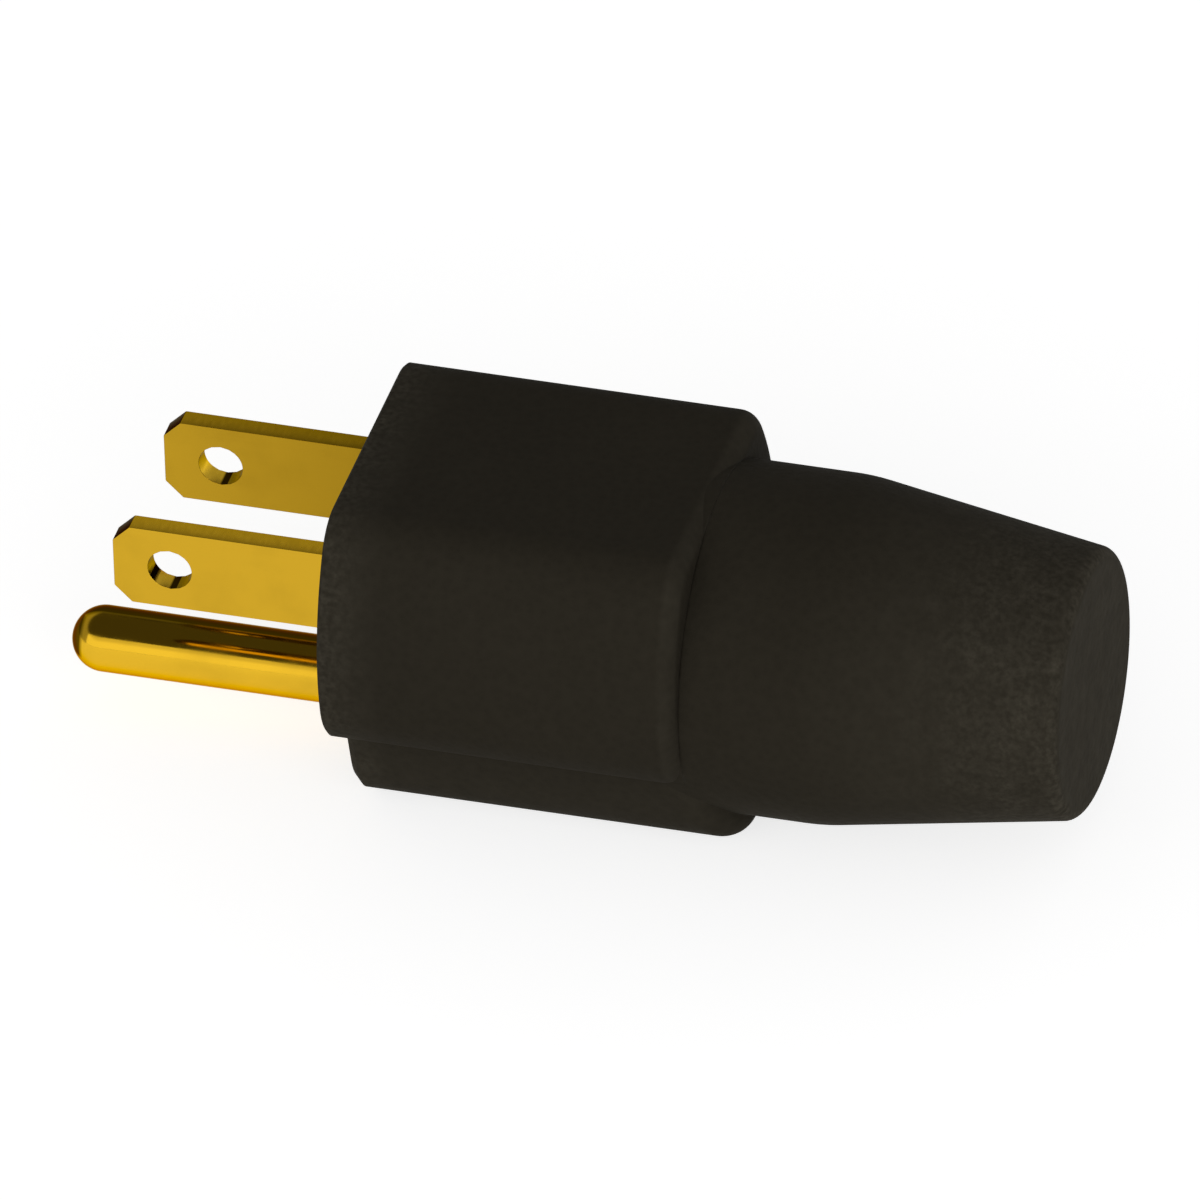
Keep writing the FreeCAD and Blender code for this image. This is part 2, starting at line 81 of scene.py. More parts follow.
back = np.array([math.sin(AZIMUTH) * math.cos(ELEVATION), -math.cos(AZIMUTH) * math.cos(ELEVATION),
                 math.sin(ELEVATION)])
level = np.array([math.cos(AZIMUTH), math.sin(AZIMUTH), 0.0])
upright = np.cross(back, level)
right = math.cos(ROLL) * level + math.sin(ROLL) * upright
up = -math.sin(ROLL) * level + math.cos(ROLL) * upright
across = (PIXELS / 2 - FACE_CENTRE_PIXEL[0]) / PIXELS_PER_MM / 1000
along = (FACE_CENTRE_PIXEL[1] - PIXELS / 2) / PIXELS_PER_MM / 1000
place = across * right + along * up + CAMERA_DISTANCE * back

camera = bpy.data.objects.new("camera", bpy.data.cameras.new("camera"))
camera.data.type = "ORTHO"
camera.data.ortho_scale = PIXELS / PIXELS_PER_MM / 1000
camera.data.clip_start = 0.01
camera.data.clip_end = 10.0
turn = np.eye(4)
turn[:3, 0], turn[:3, 1], turn[:3, 2], turn[:3, 3] = right, up, back, place
camera.matrix_world = Matrix(turn.tolist())
bpy.context.scene.collection.objects.link(camera)
bpy.context.scene.camera = camera
print("camera frame:", round(1000 * camera.data.ortho_scale, 2), "mm across")

# %% [markdown]
# ## The studio
#
# The plug stands on a plain white sweep between two big soft panels. One stands in
# front and reaches up to about 38 degrees: the round pin mirrors it as a bright lower
# half with a crisp upper border. The other stands low at the front right and lights the
# tail's side and end. The room round them is a world gradient, which costs less than
# walls: pale at table height and dark overhead, so polished metal turns dark where it
# faces the ceiling. The gradient leans, so that the dark starts lower in front.

# %% Pale walls and a dark ceiling
TABLE_LEVEL = (0.6, 0.6, 0.58, 1)
WALL = (0.38, 0.38, 0.3648, 1)
CEILING = (0.06, 0.058, 0.052, 1)
WALL_FROM, WALL_TO, CEILING_FROM = 0.1, 0.52, 0.64
LEAN = -0.2

scene = bpy.context.scene
scene.view_settings.view_transform = "Standard"
room = bpy.data.worlds.new("studio_room")
scene.world = room
room.use_nodes = True
tree = room.node_tree
direction = tree.nodes.new("ShaderNodeTexCoord")
split = tree.nodes.new("ShaderNodeSeparateXYZ")
tree.links.new(direction.outputs["Generated"], split.inputs[0])
leaning = tree.nodes.new("ShaderNodeMath")
leaning.operation = "MULTIPLY_ADD"
leaning.inputs[1].default_value = LEAN
tree.links.new(split.outputs["Y"], leaning.inputs[0])
tree.links.new(split.outputs["Z"], leaning.inputs[2])
gradient = tree.nodes.new("ShaderNodeValToRGB")
tree.links.new(leaning.outputs[0], gradient.inputs[0])
steps = gradient.color_ramp.elements
steps[0].position, steps[0].color = 0.0, TABLE_LEVEL
steps[1].position, steps[1].color = CEILING_FROM, CEILING
for height in (WALL_FROM, WALL_TO):
    steps.new(height).color = WALL
print("room steps:", [round(step.position, 2) for step in steps])

# %% [markdown]
# Matt surfaces would see all of that gradient at once and look flat. Real rooms light a
# small thing on a white table strongly from below and the sides and little from above,
# so the world gives diffuse rays a light of their own, which falls off upwards. Where
# the camera looks past the sweep's edge it sees plain white.

# %% Light for matt surfaces, and white for the camera
LIGHT_AT_TABLE, LIGHT_FROM_ABOVE = 0.88, 0.16
ray = tree.nodes.new("ShaderNodeLightPath")
falling = tree.nodes.new("ShaderNodeMapRange")
falling.inputs["To Min"].default_value = LIGHT_AT_TABLE
falling.inputs["To Max"].default_value = LIGHT_FROM_ABOVE
tree.links.new(split.outputs["Z"], falling.inputs["Value"])


def other_for(ray_kind, usual, other):
    """Colour that is usual, but other for rays of one kind."""
    choice = tree.nodes.new("ShaderNodeMix")
    choice.data_type = "RGBA"
    tree.links.new(ray.outputs[ray_kind], choice.inputs["Factor"])
    tree.links.new(usual, choice.inputs["A"])
    if isinstance(other, bpy.types.NodeSocket):
        tree.links.new(other, choice.inputs["B"])
    else:
        choice.inputs["B"].default_value = other
    return choice.outputs["Result"]


lit = other_for("Is Diffuse Ray", gradient.outputs[0], falling.outputs[0])
seen = other_for("Is Camera Ray", lit, (1.0, 1.0, 1.0, 1))
tree.links.new(seen, tree.nodes["Background"].inputs["Color"])
print("room nodes:", len(tree.nodes))

# %% [markdown]
# The panels are area lamps. A lamp's power is spread over its face, so its brightness
# seen in a mirror is power / (pi x area): the helper works the power out from the
# brightness that is wanted. Brightness 1 is as bright as white paper.

# %% Hang the two soft panels
table_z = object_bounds()[0][2]


def soft_panel(name, middle, width, height, brightness):
    """Area lamp at middle, facing the plug; power = brightness x pi x width x height."""
    lamp = bpy.data.lights.new(name, "AREA")
    lamp.shape = "RECTANGLE"
    lamp.size, lamp.size_y = width, height
    lamp.energy = brightness * math.pi * width * height
    panel = bpy.data.objects.new(name, lamp)
    facing = np.array(middle, float)
    facing /= np.linalg.norm(facing)
    side = np.cross((0.0, 0.0, 1.0), facing)
    side /= np.linalg.norm(side)
    frame_of = np.eye(4)
    frame_of[:3, 0], frame_of[:3, 1], frame_of[:3, 2] = side, np.cross(facing, side), facing
    frame_of[:3, 3] = middle
    panel.matrix_world = Matrix(frame_of.tolist())
    scene.collection.objects.link(panel)
    print(name, "power:", round(lamp.energy, 2), "W")


soft_panel("front_panel", (-0.18, -0.66, 0.215), 1.2, 0.46, 0.8)
soft_panel("right_panel", (0.5, -0.52, 0.2), 0.45, 0.45, 1.5)

# %% [markdown]
# The sweep is one flat sheet. Seen by the camera, by mirrors and through glass it
# glows almost to white by itself and adds a little of the light that falls on it, so it
# stays white and still takes the plug's soft shadow. For the light that it throws back
# on matt plastic it is plain pale paper.

# %% Lay the white sweep
HALF_SWEEP = 4.0
GLOW = 0.735
corners = np.array([(-1, -1), (1, -1), (1, 1), (-1, 1)], float) * HALF_SWEEP
sweep_mesh = bpy.data.meshes.new("sweep")
sweep_mesh.from_pydata([(x, y, table_z) for x, y in corners], [], [(0, 1, 2, 3)])
sweep = bpy.data.objects.new("sweep", sweep_mesh)
scene.collection.objects.link(sweep)

paper = bpy.data.materials.new("white_paper")
paper.use_nodes = True
tree = paper.node_tree
tree.nodes.clear()
plain = tree.nodes.new("ShaderNodeBsdfDiffuse")
plain.inputs["Color"].default_value = (0.82, 0.82, 0.81, 1)
shaded = tree.nodes.new("ShaderNodeBsdfDiffuse")
shaded.inputs["Color"].default_value = (0.6, 0.6, 0.6, 1)
glow = tree.nodes.new("ShaderNodeEmission")
glow.inputs["Strength"].default_value = GLOW
glowing = tree.nodes.new("ShaderNodeAddShader")
tree.links.new(shaded.outputs[0], glowing.inputs[0])
tree.links.new(glow.outputs[0], glowing.inputs[1])

ray = tree.nodes.new("ShaderNodeLightPath")
looked_at = ray.outputs["Is Camera Ray"]
for kind in ("Is Glossy Ray", "Is Transmission Ray"):
    either = tree.nodes.new("ShaderNodeMath")
    either.operation = "MAXIMUM"
    tree.links.new(looked_at, either.inputs[0])
    tree.links.new(ray.outputs[kind], either.inputs[1])
    looked_at = either.outputs[0]
choose = tree.nodes.new("ShaderNodeMixShader")
tree.links.new(looked_at, choose.inputs["Fac"])
tree.links.new(plain.outputs[0], choose.inputs[1])
tree.links.new(glowing.outputs[0], choose.inputs[2])
sheet_out = tree.nodes.new("ShaderNodeOutputMaterial")
tree.links.new(choose.outputs[0], sheet_out.inputs["Surface"])
sweep_mesh.materials.append(paper)
print("sweep at z =", round(1000 * table_z, 2), "mm")

# %% [markdown]
# ## A bench for finishes
#
# Every finish below is a small tree of nodes that ends in one shader. All of them read
# the object's own coordinates, in metres, so a pattern keeps its real size and stays
# where it is on the piece. The bench holds the tree and offers the few steps that all
# finishes share: a noise of a given grain size, a ramp from one value to another, a
# mixed colour, and a bump of a given depth. A value that is the same all over goes
# straight on the shader's socket.

# %% The bench
class Finish:
    """A material's node tree with short ways to add to it. Sizes are in millimetres."""

    def __init__(self, name, metallic=0.0):
        self.material = bpy.data.materials.new(name)
        self.material.use_nodes = True
        self.tree = self.material.node_tree
        self.shader = self.tree.nodes["Principled BSDF"]
        self.shader.inputs["Metallic"].default_value = metallic
        coordinates = self.add("ShaderNodeTexCoord").outputs
        self.place, self.normal = coordinates["Object"], coordinates["Normal"]

    def add(self, kind, **settings):
        """New node with some of its settings changed."""
        node = self.tree.nodes.new(kind)
        for key, value in settings.items():
            setattr(node, key, value)
        return node

    def feed(self, source, socket):
        """Join an output to an input, or set the input where source is a plain value."""
        if isinstance(source, bpy.types.NodeSocket):
            self.tree.links.new(source, socket)
        else:
            socket.default_value = source

    def split(self, vector):
        """The X, Y and Z of a vector, each as an output of its own."""
        node = self.add("ShaderNodeSeparateXYZ")
        self.feed(vector, node.inputs[0])
        return node.outputs

    def stretched(self, x=1.0, y=1.0, z=1.0):
        """The place on the piece, drawn out: a factor below 1 makes grain longer."""
        node = self.add("ShaderNodeMapping")
        self.feed(self.place, node.inputs["Vector"])
        node.inputs["Scale"].default_value = (x, y, z)
        return node.outputs[0]

    def grain(self, size, place=None, detail=2.0):
        """Soft noise from 0 to 1 whose blotches are about size across."""
        node = self.add("ShaderNodeTexNoise")
        self.feed(place or self.place, node.inputs["Vector"])
        node.inputs["Scale"].default_value = 1000.0 / size
        node.inputs["Detail"].default_value = detail
        return node.outputs["Fac"]

    def pebbles(self, size):
        """Rounded cells from a Voronoi pattern: 0 at a cell's middle, rising outwards."""
        node = self.add("ShaderNodeTexVoronoi", feature="SMOOTH_F1")
        self.feed(self.place, node.inputs["Vector"])
        node.inputs["Scale"].default_value = 1000.0 / size
        node.inputs["Smoothness"].default_value = 0.7
        return node.outputs["Distance"]

    def ramp(self, value, low, high, start=0.0, end=1.0):
        """Straight line: low and below gives start, high and above gives end."""
        node = self.add("ShaderNodeMapRange")
        self.feed(value, node.inputs["Value"])
        for socket, number in (("From Min", low), ("From Max", high), ("To Min", start), ("To Max", end)):
            node.inputs[socket].default_value = number
        return node.outputs[0]

    def combine(self, operation, a, b=0.0):
        """One step of arithmetic on two values, or on one where the second isn't used."""
        node = self.add("ShaderNodeMath", operation=operation)
        self.feed(a, node.inputs[0])
        self.feed(b, node.inputs[1])
        return node.outputs[0]

    def sum(self, a, b):
        """a + b."""
        return self.combine("ADD", a, b)

    def product(self, a, b):
        """a times b."""
        return self.combine("MULTIPLY", a, b)

    def larger(self, a, b):
        """The larger of a and b."""
        return self.combine("MAXIMUM", a, b)

    def size(self, a):
        """a without its sign."""
        return self.combine("ABSOLUTE", a)

    def tint(self, share, first, second):
        """Colour that goes from first to second as share goes from 0 to 1."""
        node = self.add("ShaderNodeMix", data_type="RGBA")
        self.feed(share, node.inputs["Factor"])
        self.feed(first, node.inputs["A"])
        self.feed(second, node.inputs["B"])
        return node.outputs["Result"]

    def soft_edge(self, radius):
        """Normal of the surface as if its edges had this radius."""
        node = self.add("ShaderNodeBevel", samples=6)
        node.inputs["Radius"].default_value = radius / 1000
        return node.outputs[0]

    def edge_share(self, rounded):
        """Near 0 on flats and up to 1 on edges, where the rounded normal leaves the true one."""
        true = self.add("ShaderNodeNewGeometry").outputs["Normal"]
        node = self.add("ShaderNodeVectorMath", operation="DOT_PRODUCT")
        self.feed(rounded, node.inputs[0])
        self.feed(true, node.inputs[1])
        return self.ramp(node.outputs["Value"], 0.999, 0.92)

    def bump(self, height, depth, rounded=None, strength=1.0):
        """Let the shader see the height, from 0 to 1, as relief of this depth."""
        node = self.add("ShaderNodeBump")
        node.inputs["Distance"].default_value = depth / 1000
        node.inputs["Strength"].default_value = strength
        self.feed(height, node.inputs["Height"])
        if rounded is not None:
            self.feed(rounded, node.inputs["Normal"])
        self.feed(node.outputs[0], self.shader.inputs["Normal"])

    def set(self, socket, source):
        """Give a value or an output to one of the shader's sockets."""
        self.feed(source, self.shader.inputs[socket])


def dress(node_names, finish):
    """Give CAD nodes a finish in their material slots."""
    for name in node_names:
        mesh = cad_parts[name].data
        mesh.materials.clear()
        mesh.materials.append(finish.material)
    print(finish.material.name, "on", ", ".join(node_names))


print("bench ready:", len([k for k in vars(Finish) if not k.startswith("_")]), "steps")

# %% [markdown]
# ## The two mouldings
#
# The head and the rear housing are black thermoplastic with a warm brown cast. The
# mould was etched, so the skin is matt and finely pebbled. The relief could be modelled,
# but at a twentieth of a millimetre it belongs to the finish: rounded cells with a
# finer noise on top, under a colour that drifts a little from place to place.

# %% Etched skin
MOULDED_DARK, MOULDED_PALE = (0.0238, 0.0203, 0.0143, 1), (0.0306, 0.0263, 0.0188, 1)
plastic = Finish("etched_black_plastic")
cells = plastic.pebbles(0.62)
fine = plastic.grain(0.2, detail=3.0)
skin = plastic.sum(plastic.product(cells, 0.75), plastic.product(fine, 0.35))
cloud = plastic.grain(9.0, detail=4.0)
moulded = plastic.tint(cloud, MOULDED_DARK, MOULDED_PALE)
print("skin:", len(plastic.tree.nodes), "nodes")

# %% [markdown]
# Light is painted into the skin: it is paler along the head's front edge, towards the end
# of the tail, on the round rims that face backwards, and on the underside, as if more
# light fell there. The painted light is blotched, and on the front edge and the last
# stretch of the tail it is speckled too. Each zone is a ramp along X or Z, or a range of
# the normal's X, and noise breaks them all up.

# %% Painted light on the skin
# Painted light: the paler colour of the skin where light is painted on.
PAINTED_LIGHT_COLOUR = (0.0620, 0.0547, 0.0408, 1)
at, facing = plastic.split(plastic.place), plastic.split(plastic.normal)
front_edge = plastic.ramp(at["X"], 0.0045, 0.0)
tail = plastic.ramp(at["X"], 0.034, 0.049)
off_end_face = plastic.ramp(facing["X"], 0.99, 0.93)
round_rim = plastic.product(plastic.ramp(facing["X"], 0.2, 0.45), off_end_face)
underside = plastic.ramp(at["Z"], -0.0092, -0.0125, 0.0, 0.42)
lit_rear = plastic.sum(tail, plastic.product(round_rim, 0.5))
zones = plastic.sum(front_edge, plastic.larger(lit_rear, underside))

tail_band = plastic.product(plastic.ramp(at["X"], 0.040, 0.046), off_end_face)
speckled = plastic.larger(plastic.product(front_edge, 1.5), tail_band)
speckle = plastic.ramp(plastic.grain(0.42), 0.32, 0.68, -0.3, 0.3)
speckle = plastic.sum(plastic.product(speckle, speckled), 0.5)
blotches = plastic.ramp(plastic.grain(1.7, detail=5.0), 0.36, 0.66, 0.55, 1.0)
# The share of painted light, blotched and speckled, and the skin coloured with it.
painted_light = plastic.product(zones, plastic.product(blotches, speckle))
painted_light_and_wear = plastic.tint(painted_light, moulded, PAINTED_LIGHT_COLOUR)
print("handled skin:", len(plastic.tree.nodes), "nodes")

# %% [markdown]
# The edges are broken by a quarter of a millimetre. The Bevel node does this in the
# finish only: it gives the normal that a rounded edge would have, so the rim over the
# tray catches a thin line of light, and where it leaves the true normal there is an edge
# to wear. The deep places between the pebbles are darkened with painted shade, and the
# gloss is low everywhere.

# %% Edges, painted shade in the pits, and gloss
# The second colour is painted shade for the deep places between the pebbles.
RUBBED_EDGE, PAINTED_PIT_SHADE = (0.045, 0.041, 0.032, 1), (0.004, 0.0034, 0.0022, 1)
rims = plastic.soft_edge(0.22)
worn = plastic.edge_share(rims)
patchy_wear = plastic.product(worn, plastic.ramp(plastic.grain(1.3), 0.42, 0.68))
edged = plastic.tint(plastic.product(patchy_wear, 0.6), painted_light_and_wear, RUBBED_EDGE)
# Painted shade in the pits of the pebbled skin.
pit_shade = plastic.ramp(skin, 0.25, 0.75, 0.14, 0.0)
plastic.set("Base Color", plastic.tint(pit_shade, edged, PAINTED_PIT_SHADE))
dull = plastic.ramp(plastic.sum(fine, cloud), 0.6, 1.4, 0.8, 0.92)
plastic.set("Roughness", plastic.sum(dull, plastic.product(worn, -0.08)))
plastic.set("IOR", 1.46)
plastic.set("Specular IOR Level", 0.07)
plastic.set("Specular Tint", (1.0, 0.93, 0.74, 1))
plastic.bump(skin, 0.045, rims)
dress(["head_body", "rear_housing"], plastic)

# %% [markdown]
# ## Brass for the prongs
#
# The prongs are solid brass, rolled or turned and then polished. Faint streaks run
# along them, and a thin brown film clouds them here and there. Both change the gloss
# more than the colour, which is how one tells polished brass from gold paint.

# %% Polished brass
FACE_BRASS, EDGE_BRASS = (0.62, 0.37, 0.022, 1), (0.85, 0.51, 0.03, 1)
# Both colours here are painted shade: the first darkens the line blade, the second the cut faces and the
# bands on the hole walls.
SHADED_BRASS, PAINTED_DARK_BRASS = (0.24, 0.14, 0.006, 1), (0.05, 0.03, 0.006, 1)
FILM_DARKENING = 0.72


def brass_surface(finish, face_colour):
    """Streaks along the piece, the colour under a brown film in clouds, and the roughness."""
    streaks = finish.grain(1.0, finish.stretched(0.07, 2.4, 2.4), detail=5.0)
    film = finish.ramp(finish.grain(3.6, detail=5.0), 0.45, 0.8)
    filmed = tuple(FILM_DARKENING * c for c in face_colour[:3]) + (1,)
    colour = finish.tint(finish.product(film, 0.3), face_colour, filmed)
    shine = finish.ramp(finish.sum(streaks, film), 0.5, 1.4, 0.10, 0.24)
    return streaks, colour, shine


blade_brass = Finish("rolled_brass", metallic=1.0)
streaks, face_colour, face_shine = brass_surface(blade_brass, FACE_BRASS)
print("brass surface:", len(blade_brass.tree.nodes), "nodes")

# %% [markdown]
# On a blade the rolled faces and the slit long edges are bright. The cropped tip is torn,
# and its faces are darkened almost to black with painted shade. The finish finds these
# faces by their normal in the piece's own coordinates: it faces +Y or -Y on the rolled
# faces, +Z or -Z on the slit edges, and has some X in it at the tip. The line side's
# blade, on +Y, is darkened with painted shade too, most of all towards the housing.

# %% Rolled faces, slit edges, and painted shade on the tips and the line blade
at, facing = blade_brass.split(blade_brass.place), blade_brass.split(blade_brass.normal)
rolled_share = blade_brass.ramp(blade_brass.size(facing["Y"]), 0.75, 0.95)
# Painted shade on the faces whose normal has X in it, at the tip.
dark_cut_share = blade_brass.ramp(blade_brass.size(facing["X"]), 0.25, 0.6)
line_side = blade_brass.ramp(at["Y"], -0.003, 0.003)
# Painted shade on the line blade, growing towards the housing.
line_blade_shade = blade_brass.product(blade_brass.ramp(at["X"], -0.0165, 0.001, 0.35, 0.75), line_side)
shaded_face = blade_brass.tint(line_blade_shade, face_colour, SHADED_BRASS)
shaded_edge = blade_brass.tint(line_blade_shade, EDGE_BRASS, SHADED_BRASS)
painted_cut_faces = blade_brass.tint(dark_cut_share, shaded_edge, PAINTED_DARK_BRASS)
print("blade faces:", len(blade_brass.tree.nodes), "nodes")

# %% [markdown]
# The locking hole was punched. Its wall is given a painted reflection: bright gold, with
# dark bands of painted shade across it, one at the lowest point and, on the neutral blade,
# one further forward. The normal of the wall points at the hole's middle, so its X tells
# the place round the hole. The rear part of the wall and the foremost get painted shade too.

# %% Painted reflection on the wall of the locking hole
# Bright gold of the painted reflection on the hole wall.
PAINTED_WALL_HIGHLIGHT = (1.0, 0.63, 0.05, 1)
HOLE_X = -12.45
LOW_BAND_X, FRONT_BAND_X = -0.12, 0.82
# Dark bands of painted shade on the hole wall, placed by the normal's X.
low_dark_band = blade_brass.ramp(blade_brass.size(blade_brass.sum(facing["X"], -LOW_BAND_X)), 0.21, 0.13)
front_dark_band = blade_brass.ramp(blade_brass.size(blade_brass.sum(facing["X"], -FRONT_BAND_X)), 0.14, 0.07)
front_dark_band = blade_brass.combine("SUBTRACT", front_dark_band, line_side)
rear_shade = blade_brass.ramp(facing["X"], -0.15, -0.3, 0.0, 0.65)
front_shade = blade_brass.ramp(facing["X"], 0.84, 0.93, 0.0, 0.4)
shades = blade_brass.larger(rear_shade, front_shade)
dark_bands = blade_brass.larger(low_dark_band, blade_brass.larger(front_dark_band, shades))
wall_colour = blade_brass.tint(dark_bands, PAINTED_WALL_HIGHLIGHT, PAINTED_DARK_BRASS)

from_hole = blade_brass.add("ShaderNodeVectorMath", operation="DISTANCE")
blade_brass.feed(blade_brass.stretched(1.0, 0.0, 1.0), from_hole.inputs[0])
from_hole.inputs[1].default_value = (HOLE_X / 1000, 0.0, 0.0)
in_hole = blade_brass.ramp(from_hole.outputs["Value"], 0.0019, 0.0017)
cut_colour = blade_brass.tint(in_hole, painted_cut_faces, wall_colour)
print("hole walls:", len(blade_brass.tree.nodes), "nodes")

# %% [markdown]
# Torn metal scatters more light than rolled metal, so two roughnesses are mixed by the
# same share as the colours. The relief of the streaks is a few thousandths of a
# millimetre, just enough to stir the mirror images.

# %% Colour, gloss and relief of the blades
blade_brass.set("Base Color", blade_brass.tint(rolled_share, cut_colour, shaded_face))
blade_brass.set("Specular Tint", (0.36, 0.33, 0.27, 1))
torn = blade_brass.grain(0.25, blade_brass.stretched(1.0, 0.3, 1.0), detail=4.0)
edge_shine = blade_brass.ramp(torn, 0.3, 0.7, 0.22, 0.36)
mixed_shine = blade_brass.add("ShaderNodeMix", data_type="FLOAT")
blade_brass.feed(rolled_share, mixed_shine.inputs["Factor"])
blade_brass.feed(edge_shine, mixed_shine.inputs["A"])
blade_brass.feed(face_shine, mixed_shine.inputs["B"])
blade_brass.set("Roughness", mixed_shine.outputs[0])
blade_brass.bump(blade_brass.sum(streaks, torn), 0.004, strength=0.25)
print("blade brass:", len(blade_brass.tree.nodes), "nodes")

# %% [markdown]
# The pin is brighter than the blades' faces. A painted dark reflection lies on the side of
# its top towards the line blade, and on the lower front of its nose. Both are ranges of
# the normal.

# %% Turned brass of the pin
# The second colour is a painted dark reflection.
PIN_BRASS, PAINTED_DARK_REFLECTION = (0.77, 0.46, 0.025, 1), (0.09, 0.055, 0.006, 1)
pin_brass = Finish("turned_brass", metallic=1.0)
rings, pin_colour, pin_shine = brass_surface(pin_brass, PIN_BRASS)
facing = pin_brass.split(pin_brass.normal)
# Painted dark reflection on the top, towards the line blade, and on the nose.
on_top = pin_brass.product(pin_brass.ramp(facing["Y"], -0.2, -0.02), pin_brass.ramp(facing["Z"], 0.5, 0.75))
on_nose = pin_brass.product(pin_brass.ramp(facing["X"], -0.48, -0.62),
                            pin_brass.ramp(facing["Z"], -0.3, -0.15))
dark_reflection_share = pin_brass.larger(on_top, on_nose)
pin_brass.set("Base Color", pin_brass.tint(dark_reflection_share, pin_colour, PAINTED_DARK_REFLECTION))
pin_brass.set("Specular Tint", (0.62, 0.4, 0.12, 1))
pin_brass.set("Roughness", pin_shine)
pin_brass.bump(rings, 0.003, strength=0.2)
print("pin brass:", len(pin_brass.tree.nodes), "nodes")

# %% [markdown]
# ## From a grid of points to a piece
#
# A surface is a grid: m rows of n points, an array of m x n x 3. Neighbouring rows and
# columns make four-sided faces, and a direction that closes on itself wraps round to its
# first row or column. The helper takes several such skins for one piece, welds points
# that fall together, so that poles and seams close, and turns the faces outwards.

# %% Grids to pieces
def grid_faces(rows, columns, wrap_rows, wrap_columns):
    """Corners of the faces between rows i, i + 1 and columns j, j + 1, as one array."""
    i = np.arange(rows if wrap_rows else rows - 1)[:, None]
    j = np.arange(columns if wrap_columns else columns - 1)[None, :]
    next_i, next_j = (i + 1) % rows, (j + 1) % columns
    corners = [i * columns + j, next_i * columns + j, next_i * columns + next_j, i * columns + next_j]
    return np.stack([np.broadcast_to(c, (i.size, j.size)) for c in corners], axis=-1).reshape(-1, 4)


def make_piece(name, skins, finish, node):
    """Piece from skins of (grid in mm, wrap rows, wrap columns). It rides on the body
    and stands for the CAD node."""
    points, faces, first = [], [], 0
    for grid, wrap_rows, wrap_columns in skins:
        points.append(grid.reshape(-1, 3) / 1000.0)
        faces.append(grid_faces(grid.shape[0], grid.shape[1], wrap_rows, wrap_columns) + first)
        first += points[-1].shape[0]
    mesh = bpy.data.meshes.new(name)
    mesh.from_pydata(np.concatenate(points).tolist(), [], np.concatenate(faces).tolist())
    work = bmesh.new()
    work.from_mesh(mesh)
    bmesh.ops.remove_doubles(work, verts=work.verts, dist=2e-7)
    bmesh.ops.recalc_face_normals(work, faces=work.faces)
    open_edges = sum(not edge.is_manifold for edge in work.edges)
    work.to_mesh(mesh)
    work.free()
    mesh.shade_smooth()
    mesh.materials.append(finish.material)
    piece = bpy.data.objects.new(name, mesh)
    scene.collection.objects.link(piece)
    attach(piece, "root")
    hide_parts(node)
    print(name, "faces:", len(mesh.polygons), "open edges:", open_edges)

# %% [markdown]
# Turned pieces come from a profile: points of (x, radius) along the axis, swept round
# it. A sharp corner of the profile is broken with a small arc. For every inner corner
# the arc leaves the incoming line and joins the outgoing one at the same distance from
# the corner, and its points are a quadratic curve between the two, which is as good as
# a circle at this size. Points added close before and after each arc keep the flat
# stretches flat in the smooth shading.

# %% Profiles with broken corners, and turning
def broken_corners(points, cut, steps=4):
    """Path through the points with every inner corner rounded. The curve at a corner P,
    from A to B, is (1 - t)^2 A + 2 t (1 - t) P + t^2 B, with A and B at distance cut."""
    points = np.asarray(points, float)
    corner = points[1:-1]
    before, after = points[:-2] - corner, points[2:] - corner
    room_before, room_after = [np.linalg.norm(v, axis=1, keepdims=True) for v in (before, after)]
    reach = np.minimum(cut, 0.4 * np.minimum(room_before, room_after))
    start = corner + before / room_before * reach
    end = corner + after / room_after * reach
    t = np.linspace(0.0, 1.0, steps + 1)[None, :, None]
    curve = (1 - t) ** 2 * start[:, None] + 2 * t * (1 - t) * corner[:, None] + t ** 2 * end[:, None]
    guard_in = start + before / room_before * reach * 0.4
    guard_out = end + after / room_after * reach * 0.4
    path = np.concatenate([guard_in[:, None], curve, guard_out[:, None]], axis=1).reshape(-1, 2)
    return np.concatenate([points[:1], path, points[-1:]])


def turned_skin(profile, y, z, around=128):
    """Grid of a body turned about the line through (y, z) along X: the point at angle a
    is (x, y + r sin a, z + r cos a)."""
    angle = np.arange(around) * 2 * math.pi / around
    x, r = profile[:, 0][:, None], profile[:, 1][:, None]
    grid = np.stack([np.broadcast_to(x, (x.shape[0], around)), y + r * np.sin(angle), z + r * np.cos(angle)],
                    axis=-1)
    return grid, False, True

# %% [markdown]
# ## The ground pin
#
# A round pin with a ball nose, turned from bar. Inside the chin it is a little thicker,
# then comes a collar, and its rear end is spread over the strap like a rivet. The CAD
# solid has these forms with sharp corners. Turning a fine profile gives the nose its
# full smoothness, breaks the corners and keeps every length and radius.

